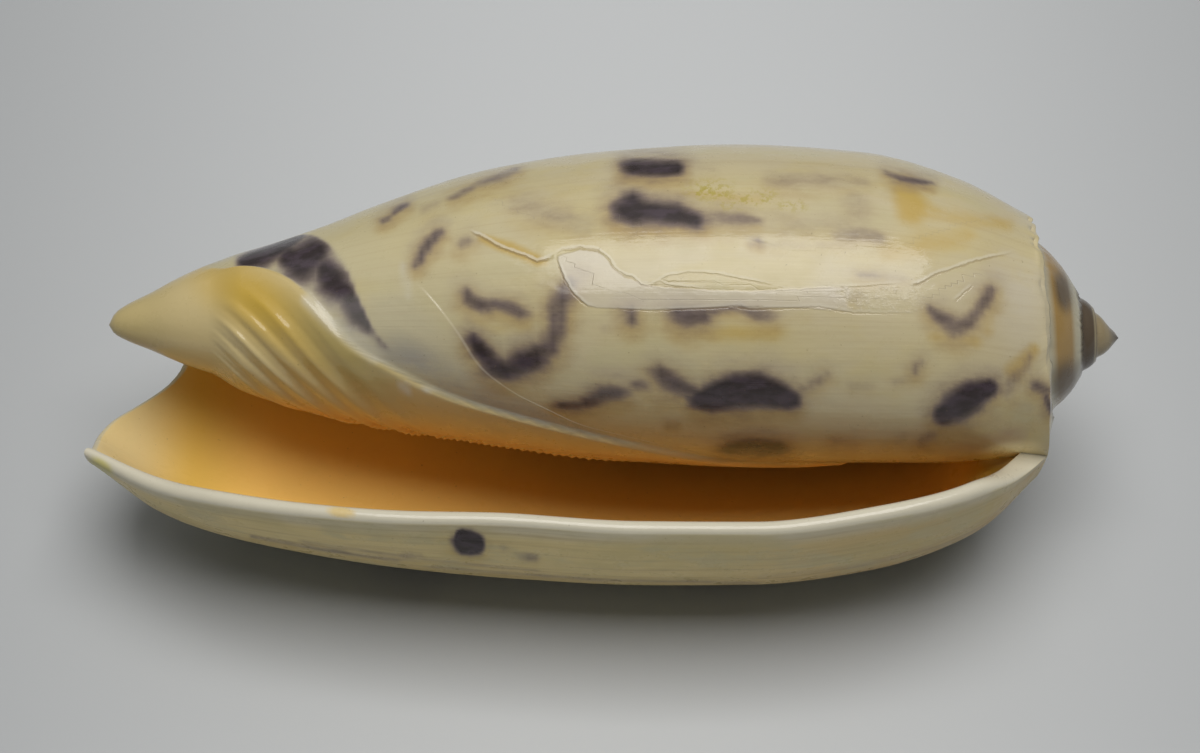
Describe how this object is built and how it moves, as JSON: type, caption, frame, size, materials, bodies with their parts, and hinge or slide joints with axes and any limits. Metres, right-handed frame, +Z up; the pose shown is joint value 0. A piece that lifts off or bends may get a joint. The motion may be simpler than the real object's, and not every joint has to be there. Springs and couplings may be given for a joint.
{
  "type": "inflated olive shell",
  "caption": "Glossy spindle-shaped olive shell with a swollen body whorl, a long narrow aperture, a folded columella, a notched front end and a short sharp spire.",
  "frame": {"origin": "middle of the underside of the bounding box, on the surface the shell lies on", "axes": "+X along the coiling axis towards the spire, +Z up, and the outer lip and aperture face -Y and up"},
  "size_m": [0.0502, 0.0224, 0.0195],
  "materials": {
    "shell": "glossy"
  },
  "bodies": {
    "root": {"shell": "shell"}
  },
  "joints": []
}
